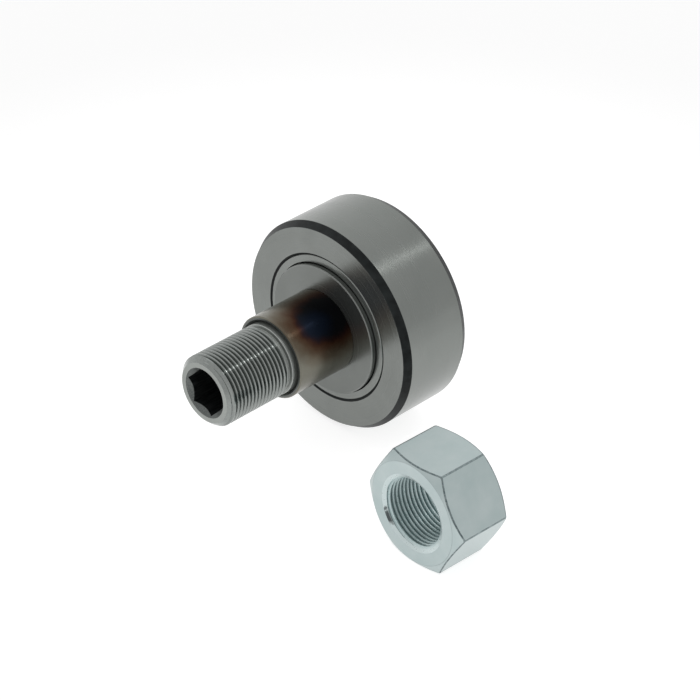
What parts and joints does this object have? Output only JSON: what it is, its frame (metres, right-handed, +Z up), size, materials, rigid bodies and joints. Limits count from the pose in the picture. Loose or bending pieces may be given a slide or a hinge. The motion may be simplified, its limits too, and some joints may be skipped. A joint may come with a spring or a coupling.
{
  "type": "cam follower",
  "caption": "Stud-type cam follower: a thick outer ring turns on full rows of rollers about a flanged stud with a sleeved shank and threaded end; its hexagon nut stands loose beside it.",
  "frame": {"origin": "on the follower's axis of rotation, at the middle of the outer ring's width", "axes": "+Y along the axis of rotation, away from the threaded end; +Z up, with the outer ring and the nut standing on the plane z = -0.036 m; +X towards the nut"},
  "size_m": [0.1291, 0.0825, 0.072],
  "materials": {
    "ground_ring_steel": "ground bearing steel, satin to glossy, with dark turned corner chamfers",
    "labyrinth_ring_steel": "fine turned steel",
    "stud_steel": "turned and ground steel with a rolled thread",
    "heat_tinted_steel": "ground steel with blue and brown heat tint",
    "washer_steel": "fine turned steel",
    "roller_steel": "lapped bearing steel",
    "zinc_plated_steel": "bright zinc plating with a pale blue passivate"
  },
  "bodies": {
    "stud": {"stud": "stud_steel", "shank_sleeve": "heat_tinted_steel", "side_washer": "washer_steel"},
    "outer_ring": {"outer_ring": "ground_ring_steel", "front_labyrinth_ring": "labyrinth_ring_steel", "rear_labyrinth_ring": "labyrinth_ring_steel"},
    "front_roller_row": {"roller_front_01": "roller_steel", "roller_front_02": "roller_steel", "roller_front_03": "roller_steel", "roller_front_04": "roller_steel", "roller_front_05": "roller_steel", "roller_front_06": "roller_steel", "roller_front_07": "roller_steel", "roller_front_08": "roller_steel", "roller_front_09": "roller_steel", "roller_front_10": "roller_steel", "roller_front_11": "roller_steel", "roller_front_12": "roller_steel", "roller_front_13": "roller_steel", "roller_front_14": "roller_steel", "roller_front_15": "roller_steel", "roller_front_16": "roller_steel"},
    "rear_roller_row": {"roller_rear_01": "roller_steel", "roller_rear_02": "roller_steel", "roller_rear_03": "roller_steel", "roller_rear_04": "roller_steel", "roller_rear_05": "roller_steel", "roller_rear_06": "roller_steel", "roller_rear_07": "roller_steel", "roller_rear_08": "roller_steel", "roller_rear_09": "roller_steel", "roller_rear_10": "roller_steel", "roller_rear_11": "roller_steel", "roller_rear_12": "roller_steel", "roller_rear_13": "roller_steel", "roller_rear_14": "roller_steel", "roller_rear_15": "roller_steel", "roller_rear_16": "roller_steel"},
    "nut": {"hex_nut": "zinc_plated_steel"}
  },
  "joints": [
    {"name": "outer_ring_spin", "type": "hinge", "parent": "stud", "child": "outer_ring", "pos_m": [0, 0, 0], "axis": [0, 1, 0], "continuous": true},
    {"name": "front_row_orbit", "type": "hinge", "parent": "stud", "child": "front_roller_row", "pos_m": [0, 0, 0], "axis": [0, 1, 0], "continuous": true},
    {"name": "rear_row_orbit", "type": "hinge", "parent": "stud", "child": "rear_roller_row", "pos_m": [0, 0, 0], "axis": [0, 1, 0], "continuous": true},
    {"name": "nut_travel", "type": "slide", "parent": "stud", "child": "nut", "axis": [0.0393, 0.9992, 0], "range_m": [0, 0.025]}
  ],
  "couplings": [
    {"joint": "front_row_orbit", "follows": "outer_ring_spin", "ratio": 0.59709},
    {"joint": "rear_row_orbit", "follows": "outer_ring_spin", "ratio": 0.59709}
  ]
}
